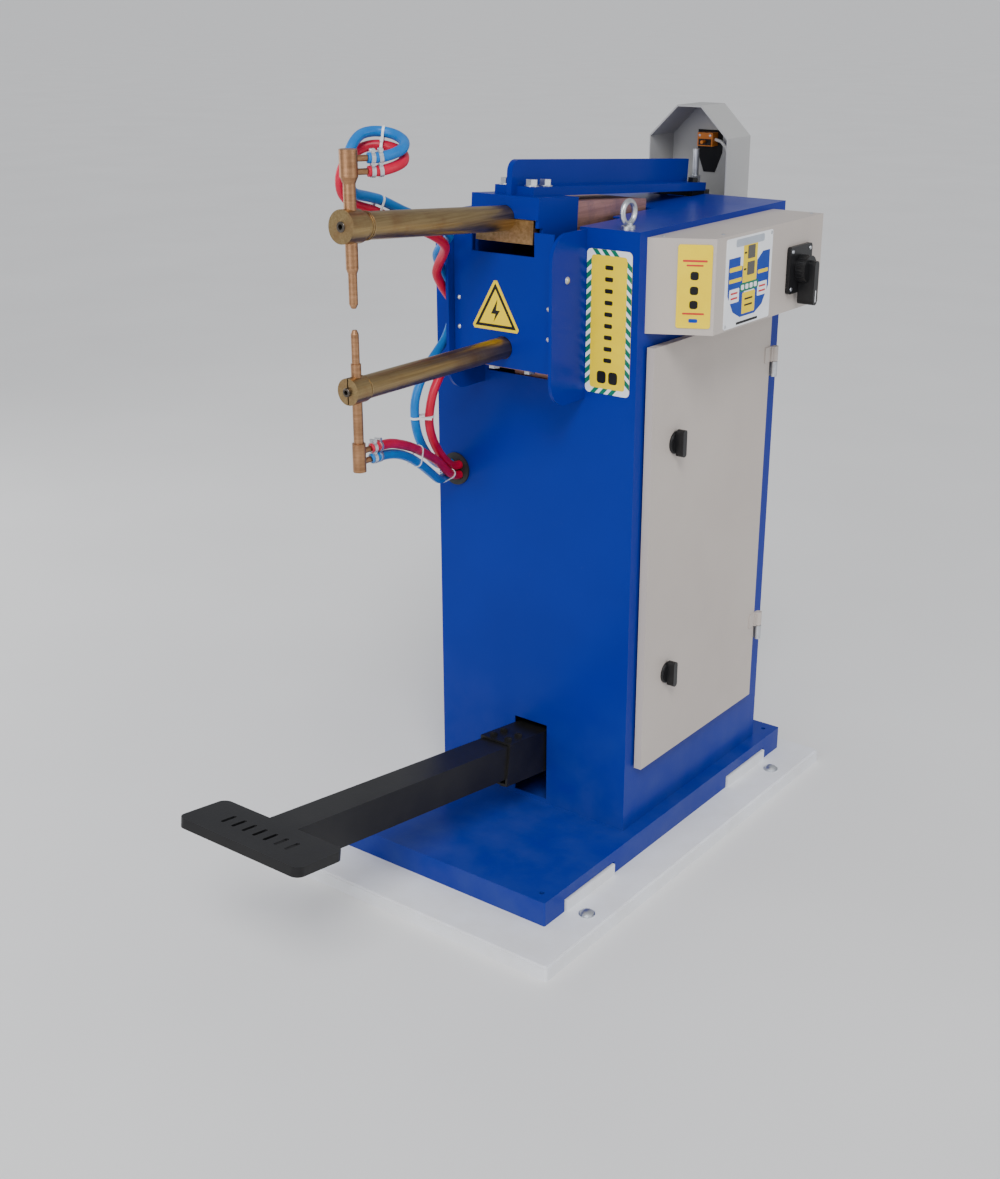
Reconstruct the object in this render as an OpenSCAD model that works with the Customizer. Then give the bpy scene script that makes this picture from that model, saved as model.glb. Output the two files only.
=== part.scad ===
// Pedal-operated rocker-arm spot welder.
// Origin: on the floor, under the middle of the plinth. +Z up, -Y towards the operator, +X towards the door.

/* [Plinth and base] */
// Width of the white floor plinth
plinth_w = 600; // [560:10:680]
// Depth of the plinth, front to back
plinth_d = 950; // [920:10:1000]
// Thickness of the plinth
plinth_t = 26; // [20:1:32]
// Width of the folded base plate
base_w = 460; // [440:10:500]
// Height of the base plate's folded skirt
skirt_h = 45; // [40:1:55]

/* [Cabinet] */
// Width of the cabinet
cab_w = 408; // [390:2:430]
// Depth of the cabinet
cab_d = 477; // [465:1:490]
// Height of the cabinet above the base plate
cab_h = 1050; // [1020:5:1100]
// Sheet thickness of the cabinet
cab_t = 3; // [2:0.5:4]
// Depth of the control box, out from the cabinet's side
box_depth = 96; // [80:2:110]
// Height of the control box
box_h = 150; // [140:2:160]

/* [Arms and electrodes] */
// Diameter of the upper arm
upper_arm_dia = 40; // [36:1:42]
// Diameter of the lower arm
lower_arm_dia = 35; // [32:1:40]
// Height of the lower arm's centre above the floor
lower_arm_z = 930; // [925:1:935]
// Distance of the electrodes in front of the cabinet
reach = 431; // [400:1:450]
// Gap between the electrode tips at rest
tip_gap = 31; // [30:1:40]

/* [Motion] */
// Angle that the rocker leans back at rest, and turns through to close
rocker_swing = 4.5; // [3:0.1:4.6]
// Angle that the pedal lever rises towards its treadle at rest
pedal_rise = 8.25; // [7:0.25:8.5]

/* [Hoses] */
// Outer diameter of the cooling-water hoses
hose_dia = 15; // [12:1:15]

/* [Hidden] */
$fn = 48;

blue = [0.02, 0.12, 0.62];
grey = [0.70, 0.66, 0.63];
pale_grey = [0.80, 0.80, 0.80];
black = [0.07, 0.07, 0.08];
zinc = [0.75, 0.77, 0.80];
brass = [0.62, 0.50, 0.28];
copper = [0.72, 0.40, 0.28];
bronze = [0.66, 0.45, 0.22];

// Main planes of the cabinet
plate_top = plinth_t + skirt_h;
plate_t = 5;
cab_front = -108;
cab_back = cab_front + cab_d;
cab_top = plate_top + cab_h;
cab_x = cab_w / 2;
base_front = -382;
base_back = 432;

// Welding head
cheek_x = 100;
cheek_t = 6;
cheek_front = cab_front - 95;
plate_front = cab_front - 81;
head_plate_t = 3;
window_x = 62;
sill_z = 1080;
pivot_y = cab_front - 53;
pivot_z = 1045;
shaft_dia = 25;
running = 0.05;
tip_y = cab_front - reach;

// Rocker, drawn level and then leaned back about the pivot
yoke_x = 66;
yoke_top = 1168;
upper_arm_z = pivot_z + 87.5;
flange_t = 14;
web_top = 1222;
clamp_ys = [-157, -120];
beam_back = cab_back - 3;
rod_y = cab_back + 31;
// Level place of the upper electrode's bore, which puts it over the lower one at rest
arm_tip_y = pivot_y + (tip_y - pivot_y - (upper_arm_z - pivot_z) * sin(rocker_swing)) / cos(rocker_swing);
fork_hole_y = pivot_y + (rod_y - pivot_y - 130 * sin(rocker_swing)) / cos(rocker_swing);

// Pedal lever, drawn level and then raised about its shaft
pedal_y = 97;
pedal_z = 148;
rod_radius = (rod_y - pedal_y) / cos(pedal_rise);
rod_pin_z = pedal_z - rod_radius * sin(pedal_rise);
tube_w = 66;
tube_h = 80;
inner_w = 58;
inner_h = 62;
wall = 4;
treadle_w = 250;
treadle_d = 98;

// Door, on the +X side
door_y0 = -82;
door_y1 = 311;
door_z0 = 188;
door_z1 = 938;
door_x = cab_x + 3;
door_t = 14;
hinge_y = 320;
hinge_x = 226;
latch_y = -7;
latch_zs = [350, 768];

// Control box
box_z = 961;
box_y0 = -86;
box_y1 = 324;
box_face = cab_x + box_depth;
box_bend = -38;
isolator_y = 237;
isolator_z = 1030;

// Hose entry in the cabinet's front: x and z of its middle, and where the four hoses pass through it
entry = [-165, 678];
entry_holes = [[9, 9], [-9, 9], [9, -9], [-9, -9]];

lower_tip_top = 1017;
upper_tip_low = lower_tip_top + tip_gap;

// ---------- helpers ----------
module rrect(w, h, r) {
    square([w - 2 * r, h], center = true);
    square([w, h - 2 * r], center = true);
    for (x = [-1, 1], y = [-1, 1])
        translate([x * (w / 2 - r), y * (h / 2 - r)]) circle(r);
}

// Bar with its axis along X, Y or Z, centred on p
module bar_x(p, r, len) { translate(p) rotate([0, 90, 0]) cylinder(r = r, h = len, center = true); }
module bar_y(p, r, len) { translate(p) rotate([90, 0, 0]) cylinder(r = r, h = len, center = true); }
module bar_z(p, r, len) { translate(p) cylinder(r = r, h = len, center = true); }

// Hexagon bolt head or nut, flat side down on p, standing along +Z
module hex(p, across, h) { translate(p) cylinder(d = across / cos(30), h = h, $fn = 6); }

// Dome-headed screw standing along +Z from p, with its shank below
module dome(p, d, shank) {
    translate(p) {
        intersection() {
            translate([0, 0, -d * 0.35]) sphere(d * 0.61);
            cylinder(r = d, h = d);
        }
        translate([0, 0, -shank]) cylinder(d = d * 0.45, h = shank + 0.1);
    }
}

// Flat plate in the YZ plane with two rounded front corners, from x to x + t
module side_plate(x, t, y0, y1, z0, z1, r) {
    translate([x, 0, 0]) rotate([90, 0, 90]) linear_extrude(t) {
        translate([y0 + r, z0]) square([y1 - y0 - r, z1 - z0]);
        translate([y0, z0 + r]) square([r, z1 - z0 - 2 * r]);
        for (z = [z0 + r, z1 - r]) translate([y0 + r, z]) circle(r);
    }
}

module box(a, b) { translate(a) cube(b - a); }

module leaned() {
    translate([0, pivot_y, pivot_z]) rotate([-rocker_swing, 0, 0])
        translate([0, -pivot_y, -pivot_z]) children();
}

module raised() {
    translate([0, pedal_y, pedal_z]) rotate([-pedal_rise, 0, 0])
        translate([0, -pedal_y, -pedal_z]) children();
}

// Swept tube: rings of `sides` points around each point of the route
function unit(v) = v / norm(v);
function along(p, i) = unit(p[min(i + 1, len(p) - 1)] - p[max(i - 1, 0)]);
function side_of(t) = unit(cross(t, abs(t[2]) > 0.9 ? [0, 1, 0] : [0, 0, 1]));
function carried(p, i) = i == 0 ? side_of(along(p, 0))
    : let (t = along(p, i), s = carried(p, i - 1)) unit(s - t * (s * t));
function ring(c, t, s, r, sides) = let (u = cross(t, s))
    [for (k = [0 : sides - 1]) c + r * (cos(360 * k / sides) * s + sin(360 * k / sides) * u)];
module tube(p, d, sides) {
    n = len(p);
    points = [for (i = [0 : n - 1]) each ring(p[i], along(p, i), carried(p, i), d / 2, sides)];
    walls = [for (i = [0 : n - 2], k = [0 : sides - 1])
        let (a = i * sides, b = a + sides, m = (k + 1) % sides) [a + k, b + k, b + m, a + m]];
    polyhedron(points, concat(walls, [[for (k = [0 : sides - 1]) k]],
        [[for (k = [sides - 1 : -1 : 0]) (n - 1) * sides + k]]));
}
function helix(r, z0, z1, turns, steps) =
    [for (i = [0 : turns * steps]) let (a = 360 * i / steps)
        [r * cos(a), r * sin(a), z0 + (z1 - z0) * i / (turns * steps)]];

// ---------- plinth and base ----------
// Middles of the four welded pads that the base plate's skirt is notched round
pad_ys = [-249, 294];
pad_len = 146;
notch_top = 50;
module plinth() color("white") difference() {
    union() {
        translate([0, 0, plinth_t / 2 - 2]) linear_extrude(plinth_t - 4, center = true)
            rrect(plinth_w, plinth_d, 6);
        translate([0, 0, plinth_t - 4]) linear_extrude(4) rrect(plinth_w - 8, plinth_d - 8, 4);
        for (s = [-1, 1], y = pad_ys)
            translate([s * 211, y, (plinth_t + notch_top) / 2 - 2])
                cube([44, pad_len, notch_top - plinth_t - 2], center = true);
    }
    for (x = [-264, 264], y = [-308, 338]) translate([x, y, -1]) cylinder(d = 13, h = plinth_t + 2);
}
module floor_bolts() color(zinc) for (x = [-264, 264], y = [-308, 338]) {
    bar_z([x, y, plinth_t + 1], 14, 2);
    translate([x, y, plinth_t + 2]) intersection() {
        translate([0, 0, -10]) sphere(17);
        cylinder(r = 12, h = 9);
    }
    bar_z([x, y, plinth_t / 2 + 0.5], 6, plinth_t - 1);
}

base_cy = (base_front + base_back) / 2;
base_d = base_back - base_front;
module base_plate() color(blue) difference() {
    translate([0, base_cy, plinth_t]) difference() {
        linear_extrude(skirt_h) rrect(base_w, base_d, 3);
        translate([0, 0, -1]) linear_extrude(skirt_h - plate_t + 1)
            square([base_w - 2 * plate_t, base_d - 2 * plate_t], center = true);
    }
    for (s = [-1, 1], y = pad_ys)
        translate([s * base_w / 2, y, plinth_t])
            cube([30, pad_len + 6, 2 * (notch_top - plinth_t)], center = true);
    for (x = [-207, 207], y = [-358, 408]) bar_z([x, y, plate_top], 4.5, 3 * plate_t);
}

// ---------- cabinet ----------
// Welded channel at the back, which the push rod runs in
channel_x = 80;
channel_back = 430;
channel_top = 1112;
module cabinet() color(blue) difference() {
    union() {
        box([-cab_x, cab_front, plate_top], [cab_x, cab_back, cab_top]);
        box([-channel_x, cab_back - 1, plate_top], [channel_x, channel_back, channel_top]);
    }
    box([-cab_x + cab_t, cab_front + cab_t, plate_top - 1],
        [cab_x - cab_t, cab_back - cab_t, cab_top - cab_t]);
    box([-channel_x + 2, cab_back, plate_top - 1], [channel_x - 2, channel_back - 2, channel_top + 1]);
    // slot for the pedal lever, front and back
    box([-36, cab_front - 1, plate_top + 8], [36, cab_front + cab_t + 1, plate_top + 159]);
    box([-28, cab_back - cab_t - 1, plate_top + 6], [28, cab_back + 1, plate_top + 110]);
    // window behind the welding head
    box([-92, cab_front - 1, 866], [92, cab_front + cab_t + 1, cab_top + 1]);
    // opening in the deck for the rocker and its copper bar
    box([-92, cab_front - 1, cab_top - cab_t - 1], [92, 20, cab_top + 1]);
    box([-70, 10, cab_top - cab_t - 1], [70, 150, cab_top + 1]);
    // notch for the rocker's fork
    box([-40, 316, cab_top - cab_t - 1], [40, cab_back - 1, cab_top + 1]);
    box([-40, cab_back - cab_t - 1, 1106], [40, cab_back + 1, cab_top + 1]);
    // door opening
    box([cab_x - cab_t - 1, door_y0 + 22, door_z0 + 22], [cab_x + 1, door_y1 - 22, door_z1 - 22]);
    // cable way into the control box
    bar_x([cab_x, 60, box_z + 75], 20, 4 * cab_t);
    // hose entry, front left
    bar_y([entry[0], cab_front, entry[1]], 23, 4 * cab_t);
    // mains gland and water tails, in the back
    bar_y([-140, cab_back, 250], 12.5, 4 * cab_t);
    for (x = [110, 160]) bar_y([x, cab_back, 200], 8, 4 * cab_t);
    // eyebolts
    bar_z([172, -92, cab_top], 5, 20);
    bar_z([-172, 330, cab_top], 5, 20);
}
hood_back = 453;
hood_low = 1102;
module arch(grow) {
    x = channel_x + grow;
    polygon([[-x, hood_low - 1], [-x, 1218 + grow / 2], [-24 - grow / 2, 1272 + grow],
             [24 + grow / 2, 1272 + grow], [x, 1218 + grow / 2], [x, hood_low - 1]]);
}
module hood() color(pale_grey) {
    difference() {
        translate([0, hood_back, 0]) rotate([90, 0, 0]) linear_extrude(hood_back - cab_back) arch(2);
        translate([0, hood_back - 2, -1]) rotate([90, 0, 0]) linear_extrude(hood_back - cab_back) arch(0);
    }
    box([-channel_x - 2, channel_back, hood_low - 1], [channel_x + 2, hood_back, hood_low + 1]);
}

// ---------- welding head ----------
module head_plate() color(blue) difference() {
    box([-cheek_x + 1, plate_front, 898], [cheek_x - 1, plate_front + head_plate_t, 1118]);
    box([-window_x, plate_front - 1, sill_z], [window_x, plate_front + 4, 1119]);
    bar_y([0, plate_front, lower_arm_z], lower_arm_dia / 2 + 1, 20);
    for (x = [-90, 90], z = [954, 1002]) bar_y([x, plate_front, z], 2.3, 20);
}
module cheek(s) color(blue) difference() {
    union() {
        side_plate(s > 0 ? cheek_x : -cheek_x - cheek_t, cheek_t, cheek_front, cab_front, 846, 1118, 42);
        // folded inner lip that the front plate screws to
        box([s > 0 ? cheek_x - 14 : -cheek_x, plate_front + head_plate_t, 905],
            [s > 0 ? cheek_x : -cheek_x + 14, plate_front + head_plate_t + 3, 1070]);
    }
    bar_x([s * (cheek_x + 3), pivot_y, pivot_z], 4.2, 20);
    for (z = [954, 1002]) bar_y([s * 90, plate_front + 5, z], 2.25, 12);
}
module right_cheek() cheek(1);
module left_cheek() cheek(-1);
module dome_screws() color(zinc) {
    for (x = [-90, 90], z = [954, 1002])
        translate([x, plate_front, z]) rotate([90, 0, 0]) dome([0, 0, 0], 8, 7);
    for (s = [-1, 1]) translate([s * (cheek_x + cheek_t), pivot_y, pivot_z]) rotate([0, s * 90, 0])
        dome([0, 0, 0], 12, 14);
    for (p = box_screws) dome([p[0], p[1], box_z + box_h], 7, 9);
    for (p = panel_screws) translate([box_face + 1.2, p[0], p[1]]) rotate([0, 90, 0]) dome([0, 0, 0], 6, 7);
}
module pivot_shaft() color(zinc) difference() {
    union() {
        bar_x([0, pivot_y, pivot_z], shaft_dia / 2, 2 * cheek_x);
        for (s = [-1, 1]) bar_x([s * (cheek_x + 71) / 2, pivot_y, pivot_z], 16, cheek_x - 71);
    }
    for (s = [-1, 1]) bar_x([s * cheek_x, pivot_y, pivot_z], 2.7, 30);
}
module lower_clamp() color(bronze) difference() {
    box([-52, plate_front + head_plate_t + 2, 896], [52, -100, 962]);
    bar_y([0, -150, lower_arm_z], lower_arm_dia / 2, 120);
    box([-53, -190, lower_arm_z - 1], [-10, -90, lower_arm_z + 1]);
    box([10, -190, lower_arm_z - 1], [53, -90, lower_arm_z + 1]);
    for (x = [-36, 36], y = [-164, -122]) bar_z([x, y, 930], 5, 80);
}
module lower_clamp_bolts() color(zinc) for (x = [-36, 36], y = [-164, -122]) {
    bar_z([x, y, 925], 5, 66);
    hex([x, y, 888], 17, 8);
    hex([x, y, 962], 17, 8);
}
module lower_arm() color(brass) difference() {
    union() {
        bar_y([0, (tip_y - 104) / 2, lower_arm_z], lower_arm_dia / 2, -tip_y - 104);
        bar_y([0, tip_y - 4, lower_arm_z], lower_arm_dia / 2 + 2.5, 30);
    }
    bar_z([0, tip_y, lower_arm_z], 7.5, 80);
    bar_y([0, tip_y - 20, lower_arm_z], 4.5, 12);
    box([-1, tip_y - 21, lower_arm_z - 30], [1, tip_y, lower_arm_z + 30]);
}
module lower_holder() color(copper) {
    for (z = [820, 836]) translate([0, tip_y, z]) rotate([-90, 0, 0]) cylinder(r = 4.5, h = 25);
    bar_z([0, tip_y, 908], 7.5, 120);
    bar_z([0, tip_y, 828], 10, 43);
    bar_z([0, tip_y, 962], 7, 12);
}
module lower_tip() color(copper) {
    translate([0, tip_y, 968]) cylinder(r = 5.8, h = lower_tip_top - 974);
    translate([0, tip_y, lower_tip_top - 6]) cylinder(r1 = 5.8, r2 = 3.5, h = 6);
}

// ---------- transformer and conductors ----------
module transformer_core() color(black) difference() {
    box([-110, 0, 560], [110, 120, 820]);
    for (x = [-75, 20]) box([x, -1, 600], [x + 55, 121, 780]);
}
module transformer_coil() color([0.55, 0.30, 0.12]) difference() {
    translate([0, 60, 606]) linear_extrude(168) rrect(142, 172, 14);
    box([-20.5, -0.5, 600], [20.5, 120.5, 780]);
}
// Angle rails between the cabinet's front and back, which the core stands on
module transformer_rails() color(zinc) for (x = [-95, 95]) {
    box([x - 10, cab_front + cab_t, 520], [x + 10, cab_back - cab_t, 523]);
    box([x - 1.5, cab_front + cab_t, 520], [x + 1.5, cab_back - cab_t, 560]);
}
module lower_busbar() color(copper) {
    box([-45, -96, 830], [45, -84, 960]);
    box([-45, -96, 820], [45, 110, 830]);
    box([-45, -100, 905], [45, -96, 955]);
}
// Laminated strap that carries the current up to the moving bar
function strap_mid(a) = [-22 + 62 * cos(a), 1012 + 78 * sin(a)];
function strap_at(a, r) = strap_mid(a) + r * [cos(a), sin(a)];
module flexible_shunt() color(copper) translate([-35, 0, 0]) rotate([90, 0, 90]) linear_extrude(70)
    polygon(concat([for (a = [-90 : 15 : 90]) strap_at(a, 5)], [[-60, 1095], [-60, 1085]],
        [for (a = [90 : -15 : -90]) strap_at(a, -5)], [[-84, 939], [-84, 929]]));

// ---------- control box, isolator and labels ----------
box_screws = [[cab_x + 14, box_y0 + 26], [box_face - 16, 8], [box_face - 16, box_y1 - 14]];
panel_z = box_z + 74;
panel_y = 67;
window_zs = [panel_z + 18, panel_z + 44];
panel_screws = [[panel_y + 70, panel_z + 66], [panel_y - 70, panel_z - 66]];
module box_outline(in) polygon([[cab_x, box_y0 + in * 1.3], [box_face - in, box_bend + in * 0.6],
    [box_face - in, box_y1 - in], [cab_x, box_y1 - in]]);
module control_box() color(grey) difference() {
    translate([0, 0, box_z]) linear_extrude(box_h) box_outline(0);
    translate([-1, 0, box_z + 2]) linear_extrude(box_h - 4) box_outline(2.5);
    bar_x([box_face, isolator_y, isolator_z], 13, 20);
    box([box_face - 5, panel_y - 55, panel_z - 50], [box_face + 1, panel_y + 55, panel_z + 58]);
    for (p = box_screws) bar_z([p[0], p[1], box_z + box_h], 1.65, 20);
    for (p = panel_screws) bar_x([box_face, p[0], p[1]], 1.4, 14);
}
module timer_panel() color("white") difference() {
    translate([box_face, panel_y, panel_z]) rotate([90, 0, 90]) linear_extrude(1.2) rrect(150, 142, 4);
    for (p = panel_screws) bar_x([box_face, p[0], p[1]], 1.4, 14);
    for (z = window_zs) box([box_face - 1, panel_y - 6, z - 10], [box_face + 2, panel_y + 16, z + 10]);
}
module timer_windows() color([0.12, 0.10, 0.06]) for (z = window_zs)
    box([box_face - 12, panel_y - 6, z - 10], [box_face + 0.8, panel_y + 16, z + 10]);
module isolator_plate() color(black) difference() {
    union() {
        translate([box_face, isolator_y, isolator_z]) rotate([90, 0, 90]) linear_extrude(7) rrect(78, 78, 6);
        bar_x([box_face - 18, isolator_y, isolator_z], 12.8, 36);
        box([box_face - 72, isolator_y - 26, isolator_z - 26],
            [box_face - 32, isolator_y + 26, isolator_z + 26]);
    }
    bar_x([box_face, isolator_y, isolator_z], 4 + running, 80);
}
module isolator_knob() color(black) {
    bar_x([box_face - 6, isolator_y, isolator_z], 4, 30);
    bar_x([box_face + 16.4, isolator_y, isolator_z], 23, 18);
    translate([box_face + 7.4, isolator_y, isolator_z - 22]) rotate([90, 0, 90])
        linear_extrude(30) rrect(15, 74, 7);
}
slant = atan2(box_bend - box_y0, box_depth);
module labels() color("yellow") {
    translate([149.5, cab_front, 974]) rotate([90, 0, 0]) linear_extrude(0.8) rrect(85, 231, 8);
    translate([cab_x + 67, (box_y0 + box_bend) / 2 + 9.6, box_z + 76]) rotate([90, 0, slant])
        translate([0, 0, 0.6]) linear_extrude(0.8) rrect(54, 130, 4);
    translate([-14, plate_front, 985]) rotate([90, 0, 0]) linear_extrude(0.8) triangle(100, 6);
}
// Upright triangle with blunt corners, drawn about its middle
module triangle(side, blunt) polygon([for (a = [90, 210, 330], d = [-1, 1])
    let (r = side / sqrt(3) - blunt, h = d * blunt / 2) [r * cos(a) - h * sin(a), r * sin(a) + h * cos(a)]]);

// ---------- limit switch ----------
module limit_switch() color("orange") {
    box([-16, 430, 1198], [16, 450, 1222]);
    bar_y([0, 424, 1206], 3, 12);
}
module switch_bracket() color(black) {
    translate([0, 451, 0]) rotate([90, 0, 0]) linear_extrude(1)
        polygon([[-12, 1150], [12, 1150], [26, 1186], [26, 1226], [-26, 1226], [-26, 1186]]);
}
cable_route = [[16, 440, 1210], [30, 438, 1207], [44, 434, 1196], [52, 430, 1180], [56, 424, 1160],
    [58, 418, 1135], [58, 412, 1110], [58, 408, 1085], [58, 402, 1062], [58, 392, 1046], [58, 381, 1040],
    [58, 370, 1040]];
module switch_cable() color("white") tube(cable_route, 6, 8);

// ---------- lifting eyes, gland and water tails ----------
module eyebolt(p) translate(p) {
    translate([0, 0, 26]) rotate([0, 90, 0]) rotate_extrude() translate([17, 0]) circle(4.5, $fn = 24);
    cylinder(r = 11, h = 6);
    translate([0, 0, 5]) cylinder(r = 7, h = 6);
    translate([0, 0, -14]) cylinder(r = 4.9, h = 15);
}
module eyebolts() color(zinc) {
    eyebolt([172, -92, cab_top]);
    eyebolt([-172, 330, cab_top]);
}
module mains_gland() color(black) difference() {
    union() {
        bar_y([-140, cab_back, 250], 12.4, 30);
        translate([-140, cab_back, 250]) rotate([-90, 0, 0]) hex([0, 0, 0], 30, 7);
        translate([-140, cab_back + 7, 250]) rotate([-90, 0, 0]) cylinder(r = 13, h = 14);
        translate([-140, cab_back - cab_t, 250]) rotate([90, 0, 0]) hex([0, 0, 0], 30, 5);
    }
    bar_y([-140, cab_back, 250], 7, 80);
}
module water_tails() color(brass) for (x = [110, 160]) difference() {
    union() {
        bar_y([x, cab_back + 10, 200], 7.9, 46);
        translate([x, cab_back, 200]) rotate([-90, 0, 0]) hex([0, 0, 0], 22, 9);
        translate([x, cab_back - cab_t, 200]) rotate([90, 0, 0]) hex([0, 0, 0], 22, 6);
        translate([x, cab_back + 30, 200]) rotate([-90, 0, 0]) cylinder(r = 5, h = 26);
    }
    bar_y([x, cab_back, 200], 3.5, 200);
}

// ---------- door, hinges and latches ----------
hinge_zs = [333, 846];
module hinge_lugs() color(zinc) for (z = hinge_zs) {
    box([cab_x, hinge_y - 6, z - 28], [cab_x + 4, hinge_y + 18, z - 1]);
    box([cab_x, hinge_y - 2, z - 28], [hinge_x, hinge_y + 6, z - 1]);
    bar_z([hinge_x, hinge_y, z - 14.5], 6, 27);
    bar_z([hinge_x, hinge_y, z], 3, 50);
}
module door() color(grey) difference() {
    union() {
        difference() {
            box([door_x, door_y0, door_z0], [door_x + door_t, door_y1, door_z1]);
            box([door_x - 1, door_y0 + 2, door_z0 + 2], [door_x + door_t - 2, door_y1 - 2, door_z1 - 2]);
        }
        for (z = hinge_zs) {
            box([door_x + door_t - 2, door_y1 - 20, z], [door_x + door_t + 2, door_y1 + 2, z + 27]);
            box([door_x + door_t - 1, door_y1 - 2, z], [hinge_x, hinge_y, z + 27]);
            bar_z([hinge_x, hinge_y, z + 13.5], 6, 27);
        }
    }
    for (z = hinge_zs) bar_z([hinge_x, hinge_y, z + 13], 3 + running, 70);
    for (z = latch_zs) bar_x([door_x, latch_y, z], 11, 60);
}
module latch(z) color(black) {
    bar_x([door_x + door_t + 2.5, latch_y, z], 17, 5);
    bar_x([door_x + 3, latch_y, z], 10.9, 28);
    translate([door_x + door_t + 5, latch_y, z]) rotate([90, 0, 90]) linear_extrude(14) rrect(12, 46, 5);
    bar_x([door_x - 13, latch_y, z], 5, 12);
    box([door_x - 19, latch_y - 42, z - 9], [door_x - 16, latch_y + 9, z + 9]);
}
module latch_lower() latch(latch_zs[0]);
module latch_upper() latch(latch_zs[1]);

// ---------- rocker ----------
module rocker_yoke() color(blue) leaned() difference() {
    union() {
        box([-yoke_x, -192, 1134], [yoke_x, -184, yoke_top]);
        box([-yoke_x, -192, yoke_top - 8], [yoke_x, -84, yoke_top]);
        for (s = [-1, 1]) {
            x = s > 0 ? yoke_x - 6 : -yoke_x;
            box([x, -178, 1022], [x + 6, -84, yoke_top - 4]);
            box([x, -190, 1122], [x + 6, -170, yoke_top - 4]);
            bar_x([s * (yoke_x - 3.5), pivot_y, pivot_z], 18, 13);
        }
    }
    bar_y([0, -188, upper_arm_z], upper_arm_dia / 2 + 0.5, 20);
    for (s = [-1, 1]) bar_x([s * 62, pivot_y, pivot_z], 15.5, 24);
    for (x = [-25, 25], y = clamp_ys) bar_z([x, y, yoke_top], 5.5, 40);
}
module rocker_bushes() color(bronze) leaned() for (s = [-1, 1]) difference() {
    union() {
        bar_x([s * 63, pivot_y, pivot_z], 15.5, 13);
        bar_x([s * 70, pivot_y, pivot_z], 19, 1.4);
    }
    bar_x([s * 62, pivot_y, pivot_z], shaft_dia / 2 + running, 40);
}
beam_front = -183;
module rocker_beam() color(blue) leaned() difference() {
    union() {
        box([-38, beam_front + 14, yoke_top], [38, beam_back, yoke_top + flange_t]);
        translate([-5, 0, 0]) rotate([90, 0, 90]) linear_extrude(10) {
            translate([beam_front + 18, yoke_top]) square([beam_back - beam_front - 30, web_top - yoke_top]);
            translate([beam_front, yoke_top]) square([20, web_top - yoke_top - 18]);
            translate([beam_front + 18, web_top - 18]) circle(18);
        }
    }
    for (x = [-25, 25], y = clamp_ys) bar_z([x, y, yoke_top], 5.5, 60);
    for (x = [-22, 22]) bar_z([x, 345, yoke_top], 5.5, 60);
}
module beam_fork() color(black) leaned() difference() {
    union() {
        translate([0, 0, yoke_top - 10]) linear_extrude(10)
            polygon([[-34, 325], [34, 325], [34, 368], [20, fork_hole_y + 20], [-20, fork_hole_y + 20],
                     [-34, 368]]);
        for (x = [-22, 22]) {
            bar_z([x, 345, yoke_top + 6], 5, 20);
            hex([x, 345, yoke_top + flange_t], 17, 8);
        }
    }
    for (y = [-5 : 2.5 : 5]) bar_z([0, fork_hole_y + y, yoke_top], 10, 60);
}
module upper_clamp() color(bronze) leaned() difference() {
    box([-56, -190, 1096], [56, -96, upper_arm_z]);
    bar_y([0, -150, upper_arm_z], upper_arm_dia / 2, 120);
    for (x = [-25, 25], y = clamp_ys) bar_z([x, y, upper_arm_z - 15], 5, 44);
}
module insulation() color([0.85, 0.80, 0.68]) leaned() difference() {
    box([-56, -182, upper_arm_z], [56, -96, yoke_top - 8]);
    bar_y([0, -150, upper_arm_z], upper_arm_dia / 2, 120);
    for (x = [-25, 25], y = clamp_ys) bar_z([x, y, upper_arm_z], 5.5, 120);
}
module clamp_bolts() color(zinc) leaned() for (x = [-25, 25], y = clamp_ys) {
    bar_z([x, y, upper_arm_z + 23], 5, 60);
    bar_z([x, y, yoke_top + flange_t + 1], 11, 2);
    hex([x, y, yoke_top + flange_t + 2], 17, 9);
}
module copper_bar() color(copper) leaned() difference() {
    box([-58, -96, 1108], [58, 132, 1160]);
    for (y = [-78, -50]) bar_z([0, y, 1108], 5, 40);
}
module upper_arm() color(brass) leaned() difference() {
    union() {
        bar_y([0, (arm_tip_y - 100) / 2, upper_arm_z], upper_arm_dia / 2, -arm_tip_y - 100);
        bar_y([0, arm_tip_y - 3, upper_arm_z], upper_arm_dia / 2 + 4, 34);
    }
    translate([0, arm_tip_y, upper_arm_z]) rotate([rocker_swing, 0, 0])
        cylinder(r = 9, h = 90, center = true);
    bar_y([0, arm_tip_y - 20, upper_arm_z], 5, 14);
}
module upper_holder() color(copper) {
    for (z = [1236, 1254]) translate([0, tip_y, z]) rotate([-90, 0, -30]) cylinder(r = 4.5, h = 27);
    bar_z([0, tip_y, 1163], 9, 118);
    translate([0, tip_y, 1230]) cylinder(r = 13, h = 37);
    translate([0, tip_y, 1221]) cylinder(r1 = 9, r2 = 13, h = 9);
    translate([0, tip_y, 1098]) cylinder(r1 = 7, r2 = 9, h = 6);
}
module upper_tip() color(copper) {
    translate([0, tip_y, upper_tip_low + 6]) cylinder(r = 6.4, h = 1098 - upper_tip_low - 6);
    translate([0, tip_y, upper_tip_low]) cylinder(r1 = 3.5, r2 = 6.4, h = 6);
}

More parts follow.
